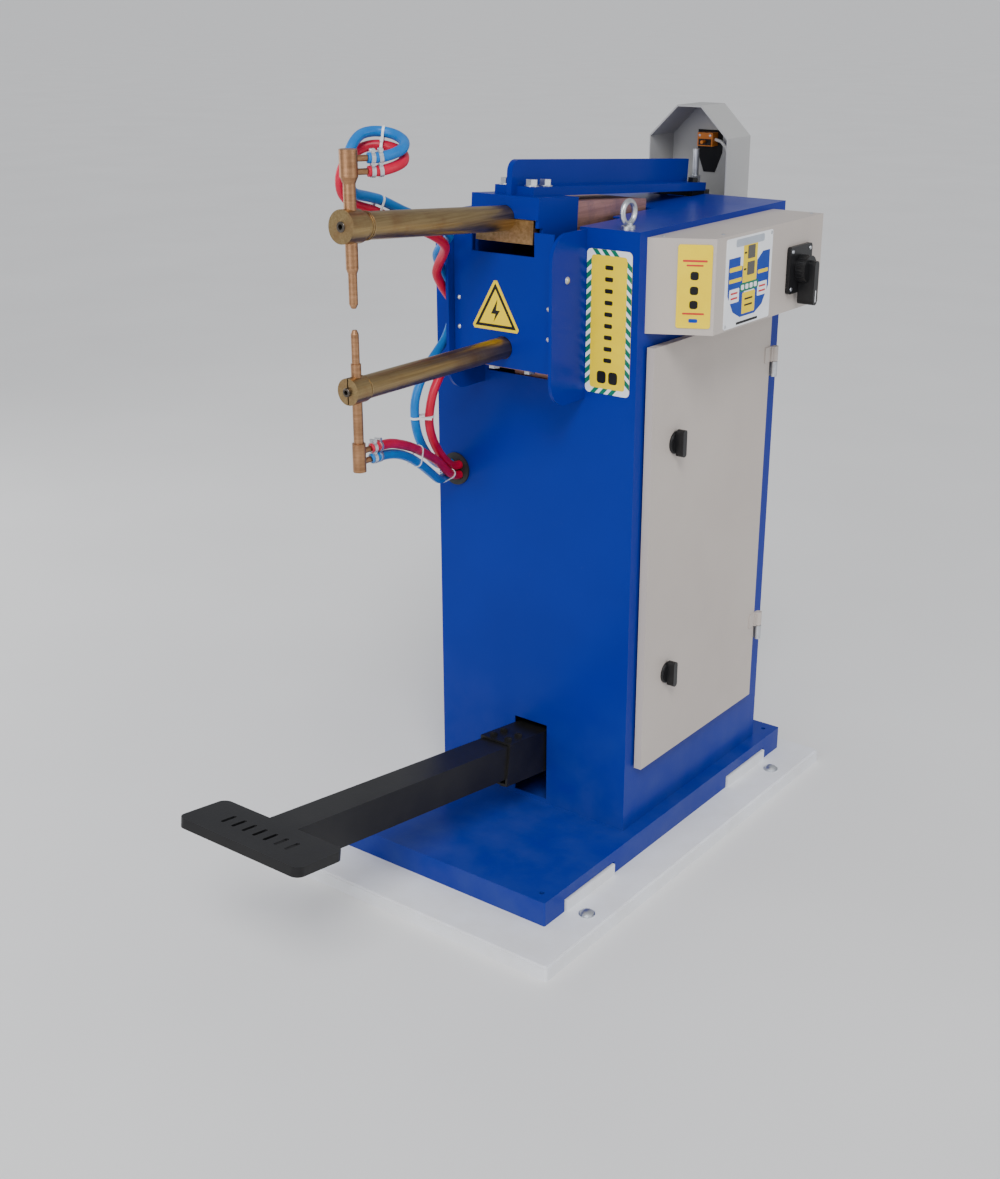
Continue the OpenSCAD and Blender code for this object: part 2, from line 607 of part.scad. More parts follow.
// ---------- push rod ----------
rod_top = 1196;
fork_z = pivot_z - (fork_hole_y - pivot_y) * sin(rocker_swing) + (yoke_top - pivot_z) * cos(rocker_swing);
module push_rod() color(zinc) {
    difference() {
        union() {
            bar_x([0, rod_y, rod_pin_z], 14, 20);
            bar_z([0, rod_y, (rod_pin_z + rod_top) / 2 + 5], 6, rod_top - rod_pin_z - 10);
        }
        bar_x([0, rod_y, rod_pin_z], 6 + running, 40);
    }
    // spring seats, nuts below the fork and nuts above it
    bar_z([0, rod_y, fork_z - 100], 19, 5);
    hex([0, rod_y, fork_z - 112], 19, 10);
    bar_z([0, rod_y, fork_z - 15.5], 19, 4);
    for (z = [4, 15]) hex([0, rod_y, fork_z + z], 19, 9);
}
module pressure_spring() color([0.5, 0.1, 0.08]) translate([0, rod_y, 0])
    tube(helix(13, fork_z - 95, fork_z - 20, 7, 12), 4, 8);

// ---------- pedal ----------
tube_front = -222;
module pedal_tube() color(black) raised() difference() {
    union() {
        difference() {
            box([-tube_w / 2, tube_front, pedal_z - tube_h / 2], [tube_w / 2, 130, pedal_z + tube_h / 2]);
            box([-tube_w / 2 + wall, tube_front - 1, pedal_z - tube_h / 2 + wall],
                [tube_w / 2 - wall, 131, pedal_z + tube_h / 2 - wall]);
        }
        bar_x([0, pedal_y, pedal_z], 17, tube_w);
        for (s = [-1, 1])
            box([s > 0 ? 12 : -20, 80, pedal_z - 17],
                [s > 0 ? 20 : -12, pedal_y + rod_radius + 18, pedal_z + 17]);
        bar_x([0, pedal_y + rod_radius, pedal_z], 6, 44);
    }
    bar_x([0, pedal_y, pedal_z], 10 + running, 100);
    for (x = [-16, 16], y = [-206, -176]) bar_z([x, y, pedal_z], 4.2, 120);
}
module pedal_extension() color(black) raised() {
    difference() {
        box([-inner_w / 2, -753, pedal_z - inner_h / 2 + 4], [inner_w / 2, -120, pedal_z + inner_h / 2 + 4]);
        box([-inner_w / 2 + wall, -754, pedal_z - inner_h / 2 + 4 + wall],
            [inner_w / 2 - wall, -119, pedal_z + inner_h / 2 + 4 - wall]);
        for (x = [-16, 16], y = [-206, -176]) bar_z([x, y, pedal_z], 4.2, 120);
    }
    // two gussets under the treadle
    for (x = [-inner_w / 2, inner_w / 2 - wall])
        translate([x, -750, pedal_z]) rotate([90, 0, 90]) linear_extrude(wall)
            polygon([[0, inner_h / 2 + 3], [-treadle_d + 8, inner_h / 2 + 3],
                     [-treadle_d + 8, inner_h / 2 - 6], [0, -16]]);
    // treadle with its folded rim
    translate([0, -750 - treadle_d / 2, pedal_z + inner_h / 2 - 2]) difference() {
        translate([0, 0, -10]) linear_extrude(16) rrect(treadle_w, treadle_d, 14);
        translate([0, 0, -11]) linear_extrude(12) rrect(treadle_w - 8, treadle_d - 8, 10);
        for (k = [-3 : 3]) translate([k * 22, 0, 0]) linear_extrude(10) rrect(6, 30, 2.9);
    }
}
module pedal_bolts() color(black) raised() for (x = [-16, 16], y = [-206, -176]) {
    bar_z([x, y, pedal_z], 4, tube_h + 14);
    hex([x, y, pedal_z + tube_h / 2], 13, 6);
    hex([x, y, pedal_z - tube_h / 2 - 6], 13, 6);
}
module pedal_bearings() color(blue) for (s = [-1, 1]) difference() {
    union() {
        side_plate(s > 0 ? 40 : -46, 6, pedal_y - 45, pedal_y + 45, plate_top + 1, pedal_z + 28, 20);
        box([s > 0 ? 40 : -80, pedal_y - 45, plate_top], [s > 0 ? 80 : -40, pedal_y + 45, plate_top + 5]);
    }
    bar_x([s * 43, pedal_y, pedal_z], 10, 20);
    for (y = [-30, 30]) bar_z([s * 66, pedal_y + y, plate_top], 4.5, 20);
}
module pedal_shaft() color(zinc) bar_x([0, pedal_y, pedal_z], 10, 100);
spring_y = -62;
spring_low = pedal_z + (pedal_y - spring_y) * tan(pedal_rise) + tube_h / 2 / cos(pedal_rise) + 2;
module return_spring() color(zinc) {
    translate([0, spring_y, 0]) tube(helix(10, spring_low + 3, 377, 12, 10), 3, 8);
    box([-14, cab_front + cab_t, 374], [14, spring_y + 14, 380]);
}

// ---------- water hoses ----------
// Each route starts at the electrode holder's fitting and ends in the cabinet's hose entry
upper_blue = [[14, -515, 1254], [22, -501, 1254], [30, -484, 1257], [31, -461, 1263], [17, -441, 1271],
    [-6, -436, 1279], [-27, -448, 1283], [-36, -471, 1280], [-33, -495, 1266], [-30, -509, 1244],
    [-31, -508, 1220], [-36, -492, 1202], [-42, -464, 1194], [-46, -424, 1184], [-46, -374, 1163],
    [-46, -328, 1146], [-48, -285, 1130], [-60, -248, 1112], [-88, -224, 1096], [-117, -210, 1072],
    [-131, -184, 1046], [-133, -158, 1012], [-133, -151, 970], [-133, -174, 925], [-133, -222, 886],
    [-133, -254, 836], [-137, -246, 778], [-150, -204, 728], [-168, -154, 696], [-174, -127, 688],
    [-174, -109, 687]];
upper_red = [[14, -515, 1236], [22, -501, 1236], [30, -484, 1239], [31, -461, 1245], [16, -442, 1253],
    [-6, -437, 1260], [-28, -447, 1264], [-43, -464, 1260], [-51, -485, 1247], [-54, -498, 1224],
    [-56, -493, 1199], [-54, -472, 1182], [-50, -440, 1171], [-47, -400, 1155], [-47, -340, 1133],
    [-51, -290, 1113], [-64, -254, 1093], [-90, -232, 1070], [-113, -217, 1042], [-118, -190, 1010],
    [-116, -164, 976], [-115, -160, 938], [-115, -184, 900], [-115, -226, 852], [-119, -236, 796],
    [-131, -204, 744], [-147, -158, 706], [-155, -129, 690], [-156, -109, 687]];
lower_red = [[0, -513, 836], [0, -500, 836], [-14, -456, 828], [-34, -410, 813], [-56, -360, 794],
    [-80, -308, 771], [-104, -256, 746], [-126, -206, 720], [-142, -162, 690], [-154, -130, 673],
    [-156, -109, 669]];
lower_blue = [[0, -513, 820], [0, -500, 820], [-16, -456, 811], [-38, -406, 795], [-62, -352, 772],
    [-86, -296, 742], [-112, -242, 711], [-138, -192, 684], [-160, -152, 672], [-172, -128, 669],
    [-174, -109, 669]];
module lower_hose_red() color("crimson") tube(lower_red, hose_dia, 8);
module lower_hose_blue() color("dodgerblue") tube(lower_blue, hose_dia, 8);
module upper_hose_red() color("crimson") tube(upper_red, hose_dia, 8);
module upper_hose_blue() color("dodgerblue") tube(upper_blue, hose_dia, 8);
// Rubber grommet that the four hoses pass through
module hose_grommet() color(black) difference() {
    union() {
        bar_y([entry[0], cab_front - 2, entry[1]], 29, 4);
        bar_y([entry[0], cab_front + 2, entry[1]], 22.9, 6);
    }
    for (p = entry_holes) bar_y([entry[0] + p[0], cab_front, entry[1] + p[1]], hose_dia / 2 + 0.8, 30);
}

plinth();
floor_bolts();
base_plate();
cabinet();
head_plate();
left_cheek();
right_cheek();
dome_screws();
pivot_shaft();
lower_clamp();
lower_clamp_bolts();
lower_arm();
lower_holder();
lower_tip();
transformer_core();
transformer_coil();
transformer_rails();
lower_busbar();
flexible_shunt();
control_box();
timer_panel();
timer_windows();
isolator_plate();
isolator_knob();
labels();
hood();
limit_switch();
switch_bracket();
switch_cable();
eyebolts();
mains_gland();
water_tails();
hinge_lugs();
pedal_bearings();
pedal_shaft();
return_spring();
hose_grommet();
lower_hose_red();
lower_hose_blue();
upper_hose_red();
upper_hose_blue();
rocker_yoke();
rocker_bushes();
rocker_beam();
beam_fork();
upper_clamp();
insulation();
clamp_bolts();
copper_bar();
upper_arm();
upper_holder();
upper_tip();
push_rod();
pressure_spring();
pedal_tube();
pedal_extension();
pedal_bolts();
door();
latch_upper();
latch_lower();
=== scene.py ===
"""Looks of the spot welder: materials, labels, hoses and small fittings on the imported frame."""

import math

import bmesh
import bpy
from mathutils import Matrix, Vector


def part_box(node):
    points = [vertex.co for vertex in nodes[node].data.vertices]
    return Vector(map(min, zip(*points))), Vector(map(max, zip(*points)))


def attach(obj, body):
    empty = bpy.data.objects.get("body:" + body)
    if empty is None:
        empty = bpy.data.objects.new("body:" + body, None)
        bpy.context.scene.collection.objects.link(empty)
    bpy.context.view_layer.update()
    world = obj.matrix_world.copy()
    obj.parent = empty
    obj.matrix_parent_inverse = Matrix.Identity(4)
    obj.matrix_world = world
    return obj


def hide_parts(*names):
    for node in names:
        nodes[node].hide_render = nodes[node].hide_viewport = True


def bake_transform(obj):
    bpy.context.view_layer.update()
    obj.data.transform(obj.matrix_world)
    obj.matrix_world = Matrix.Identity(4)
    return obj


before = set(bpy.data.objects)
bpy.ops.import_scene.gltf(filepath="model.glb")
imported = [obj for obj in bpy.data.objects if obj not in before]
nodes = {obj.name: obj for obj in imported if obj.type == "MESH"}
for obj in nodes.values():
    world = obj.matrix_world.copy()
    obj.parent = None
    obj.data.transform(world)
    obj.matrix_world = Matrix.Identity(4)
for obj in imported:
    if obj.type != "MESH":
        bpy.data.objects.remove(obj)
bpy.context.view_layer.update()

MM = 0.001


def span(node):
    """Lowest and highest corner of a CAD node, in millimetres."""
    low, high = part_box(node)
    return Vector(low) / MM, Vector(high) / MM


def middle(node):
    """Centre of a CAD node's box, in millimetres."""
    low, high = span(node)
    return (low + high) / 2


# Rocker's pivot, the angle that the rocker leans back at rest, and its arm's height above the pivot
PIVOT = middle("pivot_shaft")
SWING = math.radians(4.5)
ARM_RISE = 87.5
TIP_Y = middle("lower_tip").y
# Top of the rocker's flange, with the rocker level
FLANGE_TOP = 1182
# Thickness of the CAD's labels, and the outer face of its door
FILM = 0.8
DOOR_FACE = 221
LATCH_Y = -7


# ---------- camera ----------
def camera():
    """Looks at the machine from in front and to its right, a little above."""
    spot = Vector((1.4957, -2.1585, 1.4718))
    turn, rise, roll = math.radians(37.35), math.radians(21.24), math.radians(-0.19)
    back = Vector((math.sin(turn) * math.cos(rise), -math.cos(turn) * math.cos(rise), math.sin(rise)))
    right = Vector((math.cos(turn), math.sin(turn), 0))
    up = back.cross(right)
    level = Matrix((right, up, back)).transposed().to_4x4()
    data = bpy.data.cameras.new("camera")
    data.lens = 47.25
    data.sensor_width = 36
    cam = bpy.data.objects.new("camera", data)
    cam.matrix_world = Matrix.Translation(spot) @ level @ Matrix.Rotation(roll, 4, "Z")
    bpy.context.scene.collection.objects.link(cam)
    bpy.context.scene.camera = cam


camera()


# ---------- materials ----------
def material(name, rough, metal=0.0, **sockets):
    """A new Principled material: (material, node tree, shader, object coordinates)."""
    mat = bpy.data.materials.new(name)
    mat.use_nodes = True
    tree = mat.node_tree
    shader = tree.nodes["Principled BSDF"]
    shader.inputs["Roughness"].default_value = rough
    shader.inputs["Metallic"].default_value = metal
    for socket, value in sockets.items():
        shader.inputs[socket.replace("_", " ")].default_value = value
    place = tree.nodes.new("ShaderNodeTexCoord").outputs["Object"]
    return mat, tree, shader, place


def stretched(tree, place, scale):
    """Object coordinates scaled along X, Y and Z."""
    node = tree.nodes.new("ShaderNodeMapping")
    node.inputs["Scale"].default_value = scale
    tree.links.new(place, node.inputs["Vector"])
    return node.outputs["Vector"]


def noise(tree, place, scale, detail=4.0, rough=0.55):
    """Noise from 0 to 1, with about this many waves to a metre."""
    node = tree.nodes.new("ShaderNodeTexNoise")
    node.inputs["Scale"].default_value = scale
    node.inputs["Detail"].default_value = detail
    node.inputs["Roughness"].default_value = rough
    tree.links.new(place, node.inputs["Vector"])
    return node.outputs["Fac"]


def ramp(tree, fac, stops):
    """A colour ramp with stops [(position, (r, g, b)), ...]."""
    node = tree.nodes.new("ShaderNodeValToRGB")
    bar = node.color_ramp
    while len(bar.elements) < len(stops):
        bar.elements.new(0.5)
    for element, (position, colour) in zip(bar.elements, stops):
        element.position = position
        element.color = (*colour, 1)
    tree.links.new(fac, node.inputs["Fac"])
    return node.outputs["Color"]


def mapped(tree, value, low, high, start=0.0, end=1.0):
    """Takes a value's range from start to end onto low to high."""
    node = tree.nodes.new("ShaderNodeMapRange")
    for socket, number in (("From Min", start), ("From Max", end), ("To Min", low), ("To Max", high)):
        node.inputs[socket].default_value = number
    tree.links.new(value, node.inputs["Value"])
    return node.outputs["Result"]


def mixed(tree, fac, a, b):
    """Mixes colours a and b, each a socket or (r, g, b)."""
    node = tree.nodes.new("ShaderNodeMix")
    node.data_type = "RGBA"
    for socket, value in ((node.inputs[0], fac), (node.inputs[6], a), (node.inputs[7], b)):
        if isinstance(value, (int, float)):
            socket.default_value = value
        elif isinstance(value, tuple):
            socket.default_value = (*value, 1)
        else:
            tree.links.new(value, socket)
    return node.outputs[2]


def bump(tree, shader, height, strength, distance):
    """Lets a height disturb the shader's normal."""
    node = tree.nodes.new("ShaderNodeBump")
    node.inputs["Strength"].default_value = strength
    node.inputs["Distance"].default_value = distance
    tree.links.new(height, node.inputs["Height"])
    tree.links.new(node.outputs["Normal"], shader.inputs["Normal"])


def paint(name, light, dark, rough=0.3, shine=0.5, dust=None, peel=0.15):
    """Sprayed paint: slow shade changes, orange peel, and dust towards the floor."""
    mat, tree, shader, place = material(name, rough, Specular_IOR_Level=shine)
    shade = ramp(tree, noise(tree, place, 3.5, 3), [(0.35, dark), (0.65, light)])
    specks = mapped(tree, noise(tree, place, 90, 6, 0.7), 0, 0.25, 0.62, 0.85)
    colour = mixed(tree, specks, shade, tuple(0.6 * c + 0.05 for c in light))
    if dust:
        axes = tree.nodes.new("ShaderNodeSeparateXYZ")
        tree.links.new(place, axes.inputs[0])
        low = mapped(tree, axes.outputs["Z"], 0.22, 0.0, 0.02, 0.35)
        patch = tree.nodes.new("ShaderNodeMath")
        patch.operation = "MULTIPLY"
        tree.links.new(low, patch.inputs[0])
        tree.links.new(mapped(tree, noise(tree, place, 14, 5), 0.2, 1.3, 0.35, 0.7), patch.inputs[1])
        colour = mixed(tree, patch.outputs[0], colour, dust)
    tree.links.new(colour, shader.inputs["Base Color"])
    gloss = mapped(tree, noise(tree, place, 8, 4), rough - 0.07, rough + 0.10)
    tree.links.new(gloss, shader.inputs["Roughness"])
    bump(tree, shader, noise(tree, place, 260, 2), peel, 0.0006)
    return mat


def brushed(name, light, dark, rough, grain=(1, 1, 1), scale=40, metal=1.0, stain=None):
    """Machined metal with tool marks drawn out across the grain, and stains where it is tarnished."""
    mat, tree, shader, place = material(name, rough, metal)
    marks = noise(tree, stretched(tree, place, grain), scale, 5, 0.65)
    colour = ramp(tree, marks, [(0.3, dark), (0.7, light)])
    if stain:
        patches = mapped(tree, noise(tree, place, 22, 5, 0.6), 0, 0.75, 0.48, 0.72)
        colour = mixed(tree, patches, colour, stain)
    tree.links.new(colour, shader.inputs["Base Color"])
    tree.links.new(mapped(tree, marks, rough - 0.08, rough + 0.16), shader.inputs["Roughness"])
    bump(tree, shader, marks, 0.25, 0.0004)
    return mat


def moulded(name, light, dark, rough=0.45, grain=500, strength=0.2, **sockets):
    """Plastic or rubber with a fine grain."""
    mat, tree, shader, place = material(name, rough, **sockets)
    colour = ramp(tree, noise(tree, place, 30, 4), [(0.35, dark), (0.65, light)])
    tree.links.new(colour, shader.inputs["Base Color"])
    gloss = mapped(tree, noise(tree, place, 50, 3), rough - 0.08, rough + 0.08)
    tree.links.new(gloss, shader.inputs["Roughness"])
    bump(tree, shader, noise(tree, place, grain, 2), strength, 0.0004)
    return mat


def printed(name, light, dark):
    """Print on a plastic film: nearly even colour with a faint waviness."""
    mat, tree, shader, place = material(name, 0.3, Specular_IOR_Level=0.2)
    colour = ramp(tree, noise(tree, place, 25, 3), [(0.35, dark), (0.65, light)])
    tree.links.new(colour, shader.inputs["Base Color"])
    tree.links.new(mapped(tree, noise(tree, place, 30, 3), 0.26, 0.42), shader.inputs["Roughness"])
    bump(tree, shader, noise(tree, place, 40, 2), 0.08, 0.0005)
    return mat


BLUE = paint("blue_paint", (0.0006, 0.0165, 0.265), (0.0004, 0.0145, 0.235),
             0.30, 0.16, (0.08, 0.11, 0.22))
DOOR = paint("grey_paint", (0.50, 0.45, 0.41), (0.46, 0.41, 0.375), 0.38, 0.35, None, 0.25)
HOOD = paint("hood_paint", (0.40, 0.40, 0.395), (0.36, 0.36, 0.355), 0.42, 0.35)
WHITE = paint("plinth_paint", (0.84, 0.86, 0.90), (0.78, 0.80, 0.85), 0.42, 0.4, (0.50, 0.46, 0.40))
BLACK = paint("black_paint", (0.010, 0.010, 0.011), (0.006, 0.006, 0.007),
              0.34, 0.22, (0.06, 0.055, 0.045))
SPRING = paint("spring_paint", (0.30, 0.02, 0.02), (0.22, 0.015, 0.015), 0.35)
ZINC = brushed("zinc", (0.72, 0.74, 0.77), (0.48, 0.50, 0.53), 0.34, (1, 1, 1), 90)
BRASS = brushed("arm_brass", (0.44, 0.32, 0.155), (0.27, 0.185, 0.085),
                0.33, (60, 1, 60), 6, 1, (0.27, 0.15, 0.07))
TURNED = brushed("turned_brass", (0.52, 0.38, 0.20), (0.26, 0.18, 0.08),
                 0.36, (8, 8, 8), 30, 1, (0.26, 0.14, 0.07))
HOLDER = brushed("electrode_copper", (0.48, 0.265, 0.14), (0.31, 0.16, 0.08),
                 0.36, (1, 1, 8), 30, 1, (0.20, 0.10, 0.05))
BAR = brushed("copper_bar", (0.80, 0.46, 0.37), (0.55, 0.28, 0.22),
              0.42, (1, 1, 30), 7, 1, (0.30, 0.19, 0.24))
STRAP = brushed("copper_strap", (0.60, 0.30, 0.20), (0.30, 0.14, 0.09), 0.34, (1, 60, 60), 8)
BRONZE = brushed("clamp_bronze", (0.52, 0.34, 0.17), (0.28, 0.17, 0.07),
                 0.34, (14, 1, 14), 12, 1, (0.20, 0.11, 0.05))
PLASTIC = moulded("black_plastic", (0.012, 0.012, 0.013), (0.007, 0.007, 0.008),
                  0.32, Specular_IOR_Level=0.35)
RUBBER = moulded("grommet_rubber", (0.018, 0.018, 0.018), (0.010, 0.010, 0.010), 0.65)
RED_HOSE = moulded("red_hose", (0.58, 0.008, 0.045), (0.46, 0.005, 0.030),
                   0.36, 900, 0.2, Specular_IOR_Level=0.3)
BLUE_HOSE = moulded("blue_hose", (0.004, 0.18, 0.56), (0.003, 0.14, 0.46),
                    0.36, 900, 0.2, Specular_IOR_Level=0.3)
CABLE = moulded("white_cable", (0.78, 0.78, 0.75), (0.66, 0.66, 0.62), 0.45)
TIE = moulded("cable_tie", (0.82, 0.84, 0.84), (0.72, 0.74, 0.74), 0.35)
ORANGE = moulded("orange_plastic", (0.72, 0.22, 0.010), (0.60, 0.16, 0.008), 0.35)
STEEL = brushed("dark_steel", (0.16, 0.14, 0.12), (0.07, 0.06, 0.05), 0.38, (1, 1, 1), 80)
FIBRE = moulded("pressed_fibre", (0.66, 0.60, 0.46), (0.52, 0.46, 0.33), 0.6, 300, 0.4)
COIL = brushed("coil_varnish", (0.30, 0.13, 0.04), (0.13, 0.05, 0.015), 0.35, (1, 1, 60), 8, 0.3)
CORE = brushed("core_steel", (0.09, 0.09, 0.10), (0.03, 0.03, 0.035), 0.45, (1, 60, 1), 12, 0.6)
YELLOW = printed("label_yellow", (0.93, 0.68, 0.006), (0.88, 0.63, 0.005))
INK = printed("label_ink", (0.014, 0.014, 0.015), (0.009, 0.009, 0.010))
PRINT_WHITE = printed("label_white", (0.84, 0.86, 0.88), (0.78, 0.80, 0.83))
PRINT_BLUE = printed("label_blue", (0.004, 0.050, 0.36), (0.003, 0.042, 0.31))
PRINT_GREEN = printed("label_green", (0.005, 0.17, 0.10), (0.004, 0.14, 0.08))
PRINT_RED = printed("label_red", (0.60, 0.03, 0.04), (0.52, 0.025, 0.03))
PRINT_GREY = printed("label_grey", (0.42, 0.46, 0.52), (0.38, 0.42, 0.48))
GLASS = moulded("display_window", (0.035, 0.026, 0.010), (0.020, 0.015, 0.006),
                0.12, 900, 0.03, Coat_Weight=0.8)


# ---------- mesh helpers ----------
def add(name, work, mats, body, bevel=0.0):
    """Links a bmesh as a piece that rides on a body; mats is one material or a list of them."""
    data = bpy.data.meshes.new(name)
    work.normal_update()
    work.to_mesh(data)
    work.free()
    for mat in mats if isinstance(mats, list) else [mats]:
        data.materials.append(mat)
    piece = bpy.data.objects.new(name, data)
    bpy.context.scene.collection.objects.link(piece)
    soften(piece, bevel)
    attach(piece, body)
    return piece


def round_edges(piece, bevel, angle):
    """Bevels the edges that are sharper than an angle in degrees; bevel is in millimetres."""
    edge = piece.modifiers.new("edges", "BEVEL")
    edge.width = bevel * MM
    edge.segments = 2
    edge.limit_method = "ANGLE"
    edge.angle_limit = math.radians(angle)
    edge.harden_normals = True


def soften(piece, bevel):
    """Rounds a piece's sharp edges, or marks them, and shades it smooth between them."""
    for face in piece.data.polygons:
        face.use_smooth = True
    if bevel:
        round_edges(piece, bevel, 35)
    else:
        mark_sharp(piece.data, 40)


def mark_sharp(data, angle):
    """Marks edges sharper than an angle in degrees, so that smooth shading stops there."""
    work = bmesh.new()
    work.from_mesh(data)
    limit = math.radians(angle)
    for edge in work.edges:
        edge.smooth = len(edge.link_faces) == 2 and edge.calc_face_angle(0) < limit
    work.to_mesh(data)
    work.free()


def box(work, low, high):
    """Adds a box between two corners, in millimetres."""
    low, high = Vector(low), Vector(high)
    made = bmesh.ops.create_cube(work, size=1)
    for v in made["verts"]:
        v.co = Vector((low[i] + (v.co[i] + 0.5) * (high[i] - low[i]) for i in range(3))) * MM


def spun(work, profile, centre, axis, sides=48):
    """Adds a profile of (radius, height) in millimetres, turned about an axis through centre."""
    turn = Vector((0, 0, 1)).rotation_difference(Vector(axis)).to_matrix()
    rings = []
    for radius, height in profile:
        if radius < 1e-6:
            rings.append([work.verts.new((turn @ Vector((0, 0, height)) + Vector(centre)) * MM)])
            continue
        angles = [2 * math.pi * k / sides for k in range(sides)]
        points = [Vector((radius * math.cos(a), radius * math.sin(a), height)) for a in angles]
        rings.append([work.verts.new((turn @ p + Vector(centre)) * MM) for p in points])
    for first, second in zip(rings, rings[1:]):
        for k in range(sides):
            a, b = first[k % len(first)], first[(k + 1) % len(first)]
            c, d = second[(k + 1) % len(second)], second[k % len(second)]
            corners = list(dict.fromkeys((a, b, c, d)))
            if len(corners) > 2:
                work.faces.new(corners)


def prism(work, outline, place, depth, index=0):
    """Adds an extruded outline: place maps its (u, v, w) to the row frame, w from 0 to depth."""
    low = [work.verts.new(place(u, v, 0) * MM) for u, v in outline]
    high = [work.verts.new(place(u, v, depth) * MM) for u, v in outline]
    count = len(outline)
    faces = [work.faces.new(low[::-1]), work.faces.new(high)]
    for k in range(count):
        m = (k + 1) % count
        faces.append(work.faces.new((low[k], low[m], high[m], high[k])))
    for face in faces:
        face.material_index = index


def ring(work, outer, inner, place, depth, index=0):
    """Adds a band between two outlines of equally many points, extruded like a prism."""
    loops = []
    for outline, w in ((outer, 0), (outer, depth), (inner, depth), (inner, 0)):
        loops.append([work.verts.new(place(u, v, w) * MM) for u, v in outline])
    for first, second in zip(loops, loops[1:] + loops[:1]):
        for k in range(len(outer)):
            m = (k + 1) % len(outer)
            work.faces.new((first[k], first[m], second[m], second[k])).material_index = index


def rounded(width, height, radius, centre=(0, 0), steps=6):
    """Outline of a rounded rectangle, anticlockwise."""
    points = []
    for quarter, (sx, sy) in enumerate(((1, 1), (-1, 1), (-1, -1), (1, -1))):
        corner = Vector((sx * (width / 2 - radius) + centre[0], sy * (height / 2 - radius) + centre[1]))
        for k in range(steps + 1):
            a = math.pi / 2 * (quarter + k / steps)
            points.append((corner.x + radius * math.cos(a), corner.y + radius * math.sin(a)))
    return points


# ---------- hoses ----------
UPPER_BLUE = [
    (14, -515, 1254), (22, -501, 1254), (30, -484, 1257), (31, -461, 1263), (17, -441, 1271),
    (-6, -436, 1279), (-27, -448, 1283), (-36, -471, 1280), (-33, -495, 1266), (-30, -509, 1244),
    (-31, -508, 1220), (-36, -492, 1202), (-42, -464, 1194), (-46, -424, 1184), (-46, -374, 1163),
    (-46, -328, 1146), (-48, -285, 1130), (-60, -248, 1112), (-88, -224, 1096), (-117, -210, 1072),
    (-131, -184, 1046), (-133, -158, 1012), (-133, -151, 970), (-133, -174, 925), (-133, -222, 886),
    (-133, -254, 836), (-137, -246, 778), (-150, -204, 728), (-168, -154, 696), (-174, -127, 688),
    (-174, -109, 687),
]
UPPER_RED = [
    (14, -515, 1236), (22, -501, 1236), (30, -484, 1239), (31, -461, 1245), (16, -442, 1253),
    (-6, -437, 1260), (-28, -447, 1264), (-43, -464, 1260), (-51, -485, 1247), (-54, -498, 1224),
    (-56, -493, 1199), (-54, -472, 1182), (-50, -440, 1171), (-47, -400, 1155), (-47, -340, 1133),
    (-51, -290, 1113), (-64, -254, 1093), (-90, -232, 1070), (-113, -217, 1042), (-118, -190, 1010),
    (-116, -164, 976), (-115, -160, 938), (-115, -184, 900), (-115, -226, 852), (-119, -236, 796),
    (-131, -204, 744), (-147, -158, 706), (-155, -129, 690), (-156, -109, 687),
]
LOWER_RED = [
    (0, -513, 836), (0, -500, 836), (-14, -456, 828), (-34, -410, 813), (-56, -360, 794),
    (-80, -308, 771), (-104, -256, 746), (-126, -206, 720), (-142, -162, 690), (-154, -130, 673),
    (-156, -109, 669),
]
LOWER_BLUE = [
    (0, -513, 820), (0, -500, 820), (-16, -456, 811), (-38, -406, 795), (-62, -352, 772),
    (-86, -296, 742), (-112, -242, 711), (-138, -192, 684), (-160, -152, 672), (-172, -128, 669),
    (-174, -109, 669),
]
# Outer diameter of the hoses, and the route points that carry a clamp
HOSE = 15
CLAMPED = (4, 9)


def smooth_route(points):
    """One more point between each two, on a smooth curve through all of them."""
    p = [Vector(q) for q in points]
    out = []
    for i in range(len(p) - 1):
        before, after = p[max(i - 1, 0)], p[min(i + 2, len(p) - 1)]
        out += [p[i], (9 * (p[i] + p[i + 1]) - before - after) / 16]
    return out + [p[-1]]


def tube(name, route, diameter, mat, sides=20):
    """A round tube mesh along a route in millimetres."""
    work = bmesh.new()
    across = Vector((1, 0, 0))
    rings = []
    for i, point in enumerate(route):
        along = (route[min(i + 1, len(route) - 1)] - route[max(i - 1, 0)]).normalized()
        across = (across - along * across.dot(along)).normalized()
        other = along.cross(across)
        turns = [2 * math.pi * k / sides for k in range(sides)]
        spokes = [math.cos(a) * across + math.sin(a) * other for a in turns]
        rings.append([work.verts.new((point + diameter / 2 * spoke) * MM) for spoke in spokes])
    for first, second in zip(rings, rings[1:]):
        for k in range(sides):
            work.faces.new((first[k], first[(k + 1) % sides], second[(k + 1) % sides], second[k]))
    work.faces.new(rings[0][::-1])
    work.faces.new(rings[-1])
    data = bpy.data.meshes.new(name)
    work.to_mesh(data)
    work.free()
    for face in data.polygons:
        face.use_smooth = len(face.vertices) == 4
    data.materials.append(mat)
    piece = bpy.data.objects.new(name, data)
    bpy.context.scene.collection.objects.link(piece)
    return piece


def band(work, route, at, width, radius):
    """A metal band round a route, centred on the route's point number at."""
    along = (route[at + 1] - route[at - 1]).normalized()
    inner, half = radius - 1.6, width / 2
    profile = [(inner, -half), (radius, -half), (radius, half), (inner, half), (inner, -half)]
    spun(work, profile, route[at], along, 28)


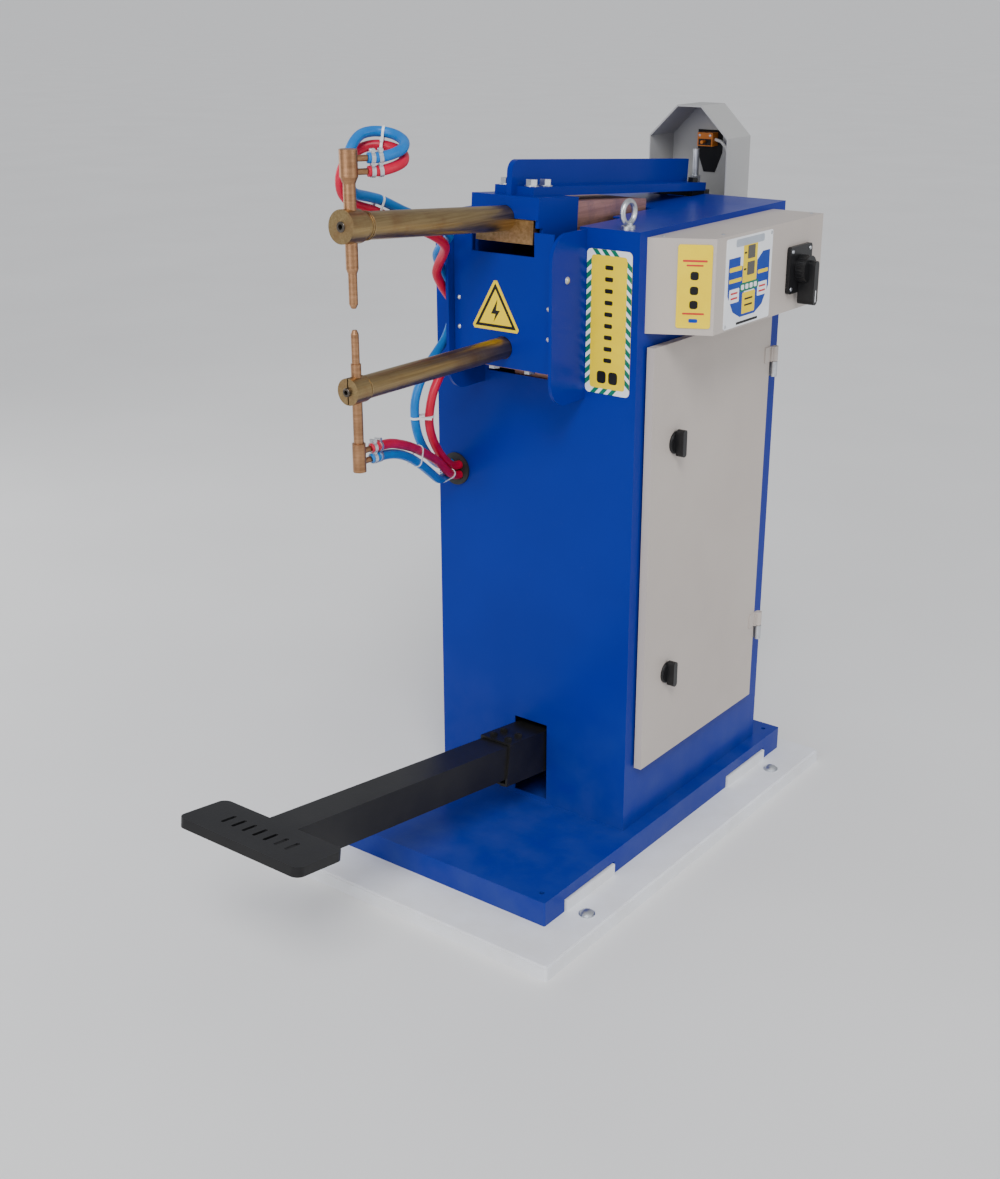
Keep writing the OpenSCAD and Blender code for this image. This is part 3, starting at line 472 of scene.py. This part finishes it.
def tie(work, a, b, width=3.6):
    """A nylon tie round two hoses, each given as (route, point number)."""
    (route, i), (other, j) = a, b
    along = (route[i + 1] - route[i - 1]).normalized()
    gap = other[j] - route[i]
    gap -= along * gap.dot(along)
    half, across = gap.length / 2, gap.normalized()
    up = along.cross(across)
    centre = route[i] + gap / 2

    def place(u, v, w):
        return centre + u * across + v * up + (w - width / 2) * along

    def oval(radius):
        turns = [math.pi * k / 12 for k in range(13)]
        right = [(half + radius * math.sin(t), -radius * math.cos(t)) for t in turns]
        return right + [(-u, -v) for u, v in right]

    side = HOSE / 2
    ring(work, oval(side + 1.3), oval(side + 0.1), place, width)
    head = [(-3, side), (3, side), (3, side + 5), (-3, side + 5)]
    tail = [(3, side + 2), (15, side + 7), (15, side + 8), (3, side + 3.2)]
    prism(work, head, lambda u, v, w: place(u, v, w - 0.6), width + 1.2)
    prism(work, tail, place, width)


def nearest(route, point):
    """Number of the route's point nearest to a place."""
    return min(range(1, len(route) - 1), key=lambda i: (route[i] - Vector(point)).length)


def hoses():
    """The four water hoses with their clamps, and the nylon ties that hold them in pairs."""
    routes = {}
    for name, points, mat, slot, body in (
        ("upper_hose_blue", UPPER_BLUE, BLUE_HOSE, "blue_hose", "rocker"),
        ("upper_hose_red", UPPER_RED, RED_HOSE, "red_hose", "rocker"),
        ("lower_hose_red", LOWER_RED, RED_HOSE, "red_hose", "frame"),
        ("lower_hose_blue", LOWER_BLUE, BLUE_HOSE, "blue_hose", "frame"),
    ):
        route = smooth_route(smooth_route(smooth_route(points)))
        routes[name] = route
        hose = tube(name + "_skin", route, HOSE, mat)
        if body == "rocker":
            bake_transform(hose)
        else:
            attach(hose, "frame")
        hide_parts(name)
        clamp = bmesh.new()
        for at in CLAMPED:
            band(clamp, route, at, 6, HOSE / 2 + 1.3)
            across = (route[at + 1] - route[at - 1]).cross(Vector((0, 0, 1))).normalized()
            head = route[at] + Vector((0, 0, HOSE / 2 + 2.6))
            screw = [(0, -5.5), (2.6, -5.5), (2.6, 3), (3.4, 3), (3.4, 5.5), (0, 5.5)]
            spun(clamp, screw, head, across, 12)
        clips = add(name + "_clamps", clamp, ZINC, body)
    blue, red = routes["upper_hose_blue"], routes["upper_hose_red"]
    low_blue, low_red = routes["lower_hose_blue"], routes["lower_hose_red"]
    for name, spot, pair, body in (
        ("tie_loop", (-20, -446, 1275), (blue, red), "rocker"),
        ("tie_arm", (-46, -424, 1178), (blue, red), "rocker"),
        ("tie_side", (-125, -250, 805), (blue, red), "frame"),
        ("tie_entry", (-165, -150, 685), (low_red, low_blue), "frame"),
        ("tie_lower", (-75, -320, 765), (low_red, low_blue), "frame"),
    ):
        work = bmesh.new()
        first, second = pair
        i = nearest(first, spot)
        tie(work, (first, i), (second, nearest(second, first[i])))
        add(name, work, TIE, body)


hoses()


# ---------- CAD nodes that keep their shape ----------
# Each material's edge radius in millimetres, and the nodes that wear it
FINISHES = {
    BLUE: (1.6, "base_plate cabinet head_plate left_cheek right_cheek rocker_yoke rocker_beam "
                "pedal_bearings"),
    DOOR: (2.0, "control_box door"),
    HOOD: (0.7, "hood"),
    WHITE: (2.0, "plinth"),
    BLACK: (1.2, "pedal_tube pedal_extension pedal_bolts beam_fork switch_bracket"),
    ZINC: (0.5, "floor_bolts dome_screws lower_clamp_bolts clamp_bolts eyebolts hinge_lugs "
                "push_rod pivot_shaft pedal_shaft return_spring transformer_rails"),
    BRASS: (1.0, "lower_arm upper_arm"),
    TURNED: (0.5, "water_tails"),
    HOLDER: (0.8, "lower_holder upper_holder lower_tip upper_tip"),
    BAR: (1.0, "copper_bar lower_busbar"),
    STRAP: (0.4, "flexible_shunt"),
    BRONZE: (1.0, "lower_clamp upper_clamp rocker_bushes"),
    CORE: (0.8, "transformer_core"),
    COIL: (0.0, "transformer_coil"),
    PRINT_WHITE: (0.0, "timer_panel"),
    GLASS: (0.0, "timer_windows"),
    PLASTIC: (1.5, "isolator_plate isolator_knob latch_upper latch_lower mains_gland"),
    YELLOW: (0.0, "labels"),
    ORANGE: (0.8, "limit_switch"),
    CABLE: (0.0, "switch_cable"),
    RUBBER: (0.8, "hose_grommet"),
    FIBRE: (0.5, "insulation"),
    SPRING: (0.0, "pressure_spring"),
}


def finish_nodes():
    """Gives each CAD node its material and rounds its edges by modifiers."""
    for mat, (bevel, names) in FINISHES.items():
        for name in names.split():
            piece = nodes[name]
            piece.data.materials.clear()
            piece.data.materials.append(mat)
            flat = piece.modifiers.new("flat faces", "DECIMATE")
            flat.decimate_type = "DISSOLVE"
            flat.angle_limit = math.radians(0.5)
            if bevel:
                round_edges(piece, bevel, 40)


finish_nodes()


# ---------- labels and overlays ----------
def facing(centre, u_axis, v_axis):
    """Maps (u, v, w) on a flat face to the row frame; w stands out from the face."""
    centre, u_axis, v_axis = Vector(centre), Vector(u_axis), Vector(v_axis)
    out = u_axis.cross(v_axis)
    return lambda u, v, w: centre + u * u_axis + v * v_axis + w * out


def bars(work, place, rows, index):
    """Neutral bars in place of print: rows of (u, v, width, height)."""
    for u, v, width, height in rows:
        prism(work, rounded(width, height, min(width, height) * 0.3, (u, v), 3), place, 0.30, index)


def striped_border(work, place, width, height, edge, pitch, pale, dark):
    """A pale border with slanted dark stripes inside the outline of a label."""
    ring(work, rounded(width, height, 8), rounded(width - 2 * edge, height - 2 * edge, 5), place, 0.10, pale)
    lean, stripe = edge * 0.9, pitch * 0.55
    x, y = width / 2, height / 2
    inner_x, inner_y = x - edge, y - edge
    for k in range(int((height - 24) / pitch)):
        v = -y + 12 + pitch * k
        for s in (-1, 1):
            quad = [(s * x, v), (s * x, v + stripe), (s * inner_x, v + stripe + lean),
                    (s * inner_x, v + lean)]
            prism(work, quad[::s], place, 0.18, dark)
    for k in range(int((width - 20) / pitch)):
        u = -x + 10 + pitch * k
        for s in (-1, 1):
            quad = [(u, s * y), (u + stripe, s * y), (u + stripe + lean, s * inner_y),
                    (u + lean, s * inner_y)]
            prism(work, quad[::-s], place, 0.18, dark)


def front_label():
    """Tall label on the cabinet's front: striped border and a column of neutral bars."""
    white, green, ink = range(3)
    place = facing((149.5, span("cabinet")[0].y - FILM, 974), (1, 0, 0), (0, 0, 1))
    work = bmesh.new()
    striped_border(work, place, 85, 231, 9, 17, white, green)
    rows = [(0, 88 - 18.5 * k, 15, 7) for k in range(9)]
    bars(work, place, rows + [(-11, -88, 17, 20), (11, -88, 17, 20)], ink)
    add("front_label_print", work, [PRINT_WHITE, PRINT_GREEN, INK], "frame")


def side_label():
    """Label on the control box's slanted front."""
    red, ink, blue = range(3)
    slant = math.atan2(48, 96)
    across = Vector((math.cos(slant), math.sin(slant), 0))
    out = Vector((math.sin(slant), -math.cos(slant), 0))
    place = facing(Vector((271, -52.4, 1037)) + 1.4 * out, across, (0, 0, 1))
    work = bmesh.new()
    bars(work, place, [(0, 40, 38, 3.2), (0, 33, 26, 2.6), (0, -42, 34, 2.8)], red)
    bars(work, place, [(0, 17, 13, 13), (0, -6, 13, 13), (0, -28, 13, 13)], ink)
    bars(work, place, [(0, -53, 14, 6)], blue)
    add("side_label_print", work, [PRINT_RED, INK, PRINT_BLUE], "frame")


def triangle_sign():
    """Black inner border and a plain mark on the triangle."""
    place = facing((-14, span("head_plate")[0].y - FILM, 985), (1, 0, 0), (0, 0, 1))

    def outline(side):
        reach = side / math.sqrt(3)
        turns = [math.radians(a) for a in (90, 210, 330)]
        return [(reach * math.cos(a), reach * math.sin(a)) for a in turns]

    work = bmesh.new()
    ring(work, outline(82), outline(66), place, 0.15)
    prism(work, [(4, 22), (-9, -2), (0, -2), (-4, -15), (9, 4), (1, 4)], place, 0.15)
    add("triangle_print", work, INK, "frame")


def timer_overlay():
    """Coloured fields of the timer's front sheet, without any lettering."""
    blue, grey, yellow, green, white, red, ink, glass = range(8)
    mats = [PRINT_BLUE, PRINT_GREY, YELLOW, PRINT_GREEN, PRINT_WHITE, PRINT_RED, INK, GLASS]
    centre = middle("timer_panel")
    place = facing((span("timer_panel")[1].x, centre.y, centre.z), (0, 1, 0), (0, 0, 1))
    work = bmesh.new()
    field = [(-67, 40), (-30, 40), (-30, 24), (-14, 24), (-14, -50), (20, -50), (20, 24), (44, 40),
             (67, 40), (67, -18), (48, -46), (24, -57), (-24, -57), (-48, -46), (-67, -18)]
    prism(work, field, place, 0.16, blue)
    bars(work, place, [(0, 62, 92, 12)], grey)
    prism(work, rounded(46, 66, 2, (2, 30)), place, 0.22, yellow)
    for v in (18, 44):
        prism(work, rounded(24, 21, 2, (5, v)), place, 0.45, glass)
    bars(work, place, [(-44, 22, 40, 7), (-44, 4, 40, 6), (46, 8, 34, 6)], yellow)
    bars(work, place, [(2, -10, 60, 14)], green)
    prism(work, rounded(42, 34, 2, (2, -36)), place, 0.22, yellow)
    for u in (-46, 46):
        prism(work, rounded(32, 22, 2, (u, -20)), place, 0.22, white)
        bars(work, place, [(u, -16, 22, 3), (u, -24, 22, 3)], red)
    dark = [(-14, 44, 8, 3), (-14, 18, 8, 3), (2, -30, 26, 3), (2, -40, 26, 3), (0, -66, 70, 4)]
    bars(work, place, dark, ink)
    add("timer_print", work, mats, "frame")
    keys = bmesh.new()
    for u in (-20, -6, 8, 22):
        prism(keys, rounded(9, 8, 2, (u, -10)), lambda u, v, w: place(u, v, w + 0.1), 0.9)
    add("timer_keys", keys, PRINT_WHITE, "frame", bevel=0.25)


front_label()
side_label()
triangle_sign()
timer_overlay()


# ---------- head and arms ----------
def leaned(x, y, z):
    """A level point of the rocker, in millimetres, as it stands at rest."""
    along, up = y - PIVOT.y, z - PIVOT.z
    return Vector((x, PIVOT.y + along * math.cos(SWING) + up * math.sin(SWING),
                   PIVOT.z - along * math.sin(SWING) + up * math.cos(SWING)))


def socket_screw(work, centre, axis, radius, length):
    """Socket-head screw: a chamfered head with a hollow, facing along the axis."""
    hollow, depth = radius * 0.5, length * 0.6
    head = [(0, -length), (radius, -length), (radius, -0.6), (radius - 0.6, 0), (hollow, 0)]
    spun(work, head, centre, axis, 32)
    spun(work, [(hollow, 0), (hollow, -depth), (0, -depth)], centre, axis, 6)


def collar(work, inner, centre, axis):
    """Thin ring, 2 mm wide and 1.4 mm high, round an arm."""
    outer = inner + 1.4
    spun(work, [(inner, -1), (outer, -1), (outer, 1), (inner, 1), (inner, -1)], centre, axis, 64)


def arm_ends():
    """Clamping screw in each arm's end disc, and the seams between head and arm."""
    arm_z, low_z = PIVOT.z + ARM_RISE, middle("lower_arm").z
    outward = Vector((0, -math.cos(SWING), math.sin(SWING)))
    level_tip = PIVOT.y + (TIP_Y - PIVOT.y - ARM_RISE * math.sin(SWING)) / math.cos(SWING)
    screw = bmesh.new()
    socket_screw(screw, leaned(0, level_tip - 20, arm_z) + outward * 1.6, outward, 7.5, 14)
    add("upper_arm_screw", screw, STEEL, "rocker")
    low_screw = bmesh.new()
    socket_screw(low_screw, (0, span("lower_arm")[0].y - 4.4, low_z), (0, -1, 0), 6.5, 12)
    add("lower_arm_screw", low_screw, STEEL, "frame")
    seams = bmesh.new()
    for step in (18, 22):
        collar(seams, 19.6, leaned(0, TIP_Y + step, arm_z), -outward)
    add("upper_arm_collar", seams, TURNED, "rocker", bevel=0.3)
    low_seam = bmesh.new()
    collar(low_seam, 17.2, (0, TIP_Y + 15, low_z), (0, 1, 0))
    add("lower_arm_collar", low_seam, TURNED, "frame", bevel=0.3)


def washers():
    """Washers under the rocker's flange bolts."""
    work = bmesh.new()
    up = leaned(0, 0, 1) - leaned(0, 0, 0)
    profile = [(5.2, 0), (12, 0), (12, 1.2), (5.2, 1.2), (5.2, 0)]
    for x in (-25, 25):
        for y in (-157, -120):
            spun(work, profile, leaned(x, y, FLANGE_TOP + 0.6), up, 40)
    add("flange_washers", work, ZINC, "rocker", bevel=0.3)


def return_spring():
    """Coil between the pedal and the cabinet's bracket."""
    spring_y, radius, turns, steps = -62, 10, 12, 24
    bottom = span("return_spring")[0].z
    first, last = bottom + 3, 376
    route = []
    for k in range(turns * steps + 1):
        angle = 2 * math.pi * k / steps
        rise = first + (last - first) * k / (turns * steps)
        route.append(Vector((radius * math.cos(angle), spring_y + radius * math.sin(angle), rise)))
    coil = tube("return_spring_coil", route, 3, ZINC, 12)
    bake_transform(coil)
    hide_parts("return_spring")
    work = bmesh.new()
    box(work, (-14, -105, 374), (14, -48, 377))
    box(work, (-14, -105, 356), (14, -102, 374))
    spun(work, [(0, 0), (6, 0), (6, 5), (0, 5)], (0, spring_y, 377), (0, 0, 1), 6)
    bracket = add("return_spring_bracket", work, BLUE, "frame", bevel=0.6)
    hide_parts("return_spring")


arm_ends()
washers()
return_spring()


# ---------- control box, door and switch ----------
def isolator_trim():
    """Fluted collar and pointer line on the isolator's knob, and screws in its plate."""
    plate, centre = span("isolator_plate")[1].x, middle("isolator_plate")
    knob = span("isolator_knob")[1].x
    flutes = 96
    outline = []
    for k in range(flutes):
        radius = 23.6 if k % 4 < 2 else 22.6
        turn = 2 * math.pi * k / flutes
        outline.append((radius * math.cos(turn), radius * math.sin(turn)))
    work = bmesh.new()
    prism(work, outline, facing((plate + 2, centre.y, centre.z), (0, 1, 0), (0, 0, 1)), 12)
    add("isolator_collar", work, PLASTIC, "isolator", bevel=0.4)
    line = bmesh.new()
    face = facing((knob, centre.y, centre.z), (0, 1, 0), (0, 0, 1))
    prism(line, rounded(2.2, 20, 0.8, (0, -44)), face, 0.3)
    add("isolator_pointer", line, PRINT_WHITE, "isolator")
    screws = bmesh.new()
    head = [(0, 0), (3.4, 0), (3.0, 1.2), (0, 1.6)]
    for y in (centre.y - 31, centre.y + 31):
        for z in (centre.z - 31, centre.z + 31):
            spun(screws, head, (plate, y, z), (1, 0, 0), 20)
    add("isolator_screws", screws, ZINC, "frame")


def latch_trim():
    """Raised rim round each door latch."""
    profile = [(17, 0), (19.5, 0), (19.5, 2.4), (18, 3.6), (17, 3.6), (17, 0)]
    for name in ("latch_lower", "latch_upper"):
        rim = bmesh.new()
        spun(rim, profile, (DOOR_FACE, LATCH_Y, middle(name).z), (1, 0, 0), 48)
        add(name + "_rim", rim, PLASTIC, "door", bevel=0.3)


def switch_trim():
    """Cover and cover screws of the limit switch behind the rocker."""
    high = span("limit_switch")[1]
    face = high.y - 20
    work = bmesh.new()
    for x in (-11, 11):
        spun(work, [(0, 0), (2.6, 0), (2.2, 1.4), (0, 1.8)], (x, face, high.z - 5), (0, -1, 0), 20)
    add("switch_screws", work, ZINC, "frame")
    cover = bmesh.new()
    box(cover, (-13, face - 1.4, high.z - 22), (13, face, high.z - 11))
    add("switch_cover", cover, PLASTIC, "frame", bevel=0.4)


def door_gasket():
    """Rubber strip round the door's back edge."""
    low, high = span("door")
    width, height = 393, high.z - low.z
    centre = (low.x - 2.8, low.y + width / 2, low.z + height / 2)
    work = bmesh.new()
    outer, inner = rounded(width - 8, height - 8, 6), rounded(width - 22, height - 22, 4)
    ring(work, outer, inner, facing(centre, (0, 1, 0), (0, 0, 1)), 2.6)
    add("door_gasket", work, RUBBER, "door")


isolator_trim()
latch_trim()
switch_trim()
door_gasket()


# ---------- floor and light ----------
def floor():
    """Wide pale floor under the plinth."""
    work = bmesh.new()
    bmesh.ops.create_grid(work, x_segments=2, y_segments=2, size=400)
    data = bpy.data.meshes.new("floor")
    work.to_mesh(data)
    work.free()
    mat, tree, shader, place = material("floor", 0.6)
    pale, paler = (0.74, 0.74, 0.74), (0.77, 0.77, 0.77)
    tone = ramp(tree, noise(tree, place, 1.5, 2), [(0.3, pale), (0.7, paler)])
    tree.links.new(tone, shader.inputs["Base Color"])
    data.materials.append(mat)
    sheet = bpy.data.objects.new("floor", data)
    sheet.location.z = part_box("plinth")[0][2]
    bpy.context.scene.collection.objects.link(sheet)


def lights():
    """Soft studio light: an even sky, a wide sun and three lamps aimed at the machine's middle."""
    world = bpy.data.worlds.new("studio")
    world.use_nodes = True
    sky = world.node_tree.nodes["Background"]
    sky.inputs["Color"].default_value = (0.93, 0.95, 1.0, 1)
    sky.inputs["Strength"].default_value = 0.5
    bpy.context.scene.world = world
    data = bpy.data.lights.new("sun", "SUN")
    data.energy = 2.1
    data.angle = math.radians(22)
    sun = bpy.data.objects.new("sun", data)
    sun.rotation_euler = Vector((1.0, -1.3, 1.7)).to_track_quat("Z", "Y").to_euler()
    bpy.context.scene.collection.objects.link(sun)
    aim = Vector((0, 0, 0.7))
    for name, spot, power, size in (
        ("front", (0.2, -3.4, 1.9), 45, 2.2),
        ("side", (3.4, 0.2, 1.8), 25, 2.0),
        ("left", (-3.0, -0.6, 1.6), 30, 2.0),
    ):
        data = bpy.data.lights.new(name, "AREA")
        data.energy = power
        data.size = size
        lamp = bpy.data.objects.new(name, data)
        lamp.location = spot
        lamp.rotation_euler = (aim - Vector(spot)).to_track_quat("-Z", "Y").to_euler()
        bpy.context.scene.collection.objects.link(lamp)


floor()
lights()
